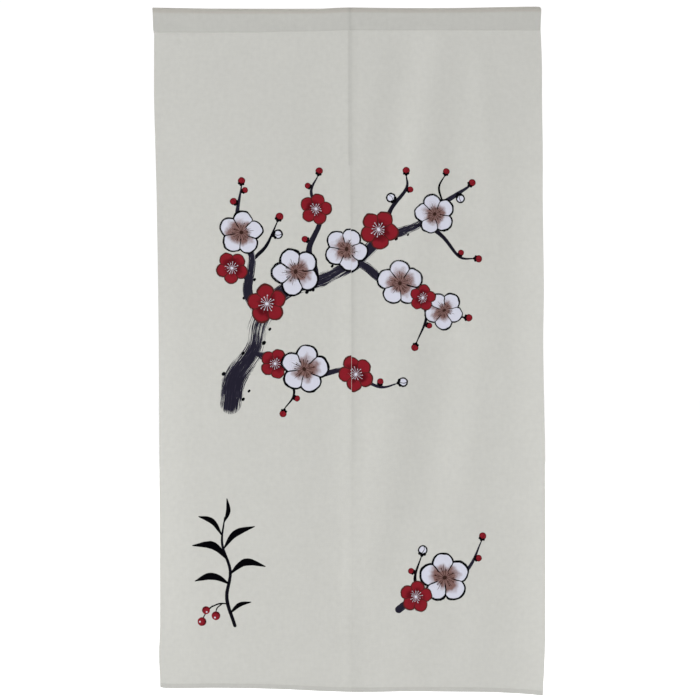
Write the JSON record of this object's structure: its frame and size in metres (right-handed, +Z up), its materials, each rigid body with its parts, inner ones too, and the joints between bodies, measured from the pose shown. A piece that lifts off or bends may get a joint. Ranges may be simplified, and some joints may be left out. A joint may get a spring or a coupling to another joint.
{
  "type": "noren curtain",
  "caption": "Split doorway curtain: two cloth panels sewn together at the top under a folded rod-pocket heading, hanging in soft uneven folds.",
  "frame": {"origin": "middle of the heading's top edge, where the rod in the pocket holds the curtain", "axes": "+X across the curtain, to the right as seen from the front; the printed front faces -Y; +Z up"},
  "size_m": [0.8641, 0.0196, 1.515],
  "materials": {
    "panel_cloth": "matt plain-weave cloth, pale grey-green ecru, slightly slubbed",
    "heading_cloth": "the same plain-weave cloth doubled, so a little darker",
    "thread": "matt sewing thread, matched to the cloth",
    "print_ink": "matt textile ink soaked into the weave"
  },
  "bodies": {
    "root": {"heading_casing": "heading_cloth", "panel_left": "panel_cloth", "panel_right": "panel_cloth"}
  },
  "joints": []
}
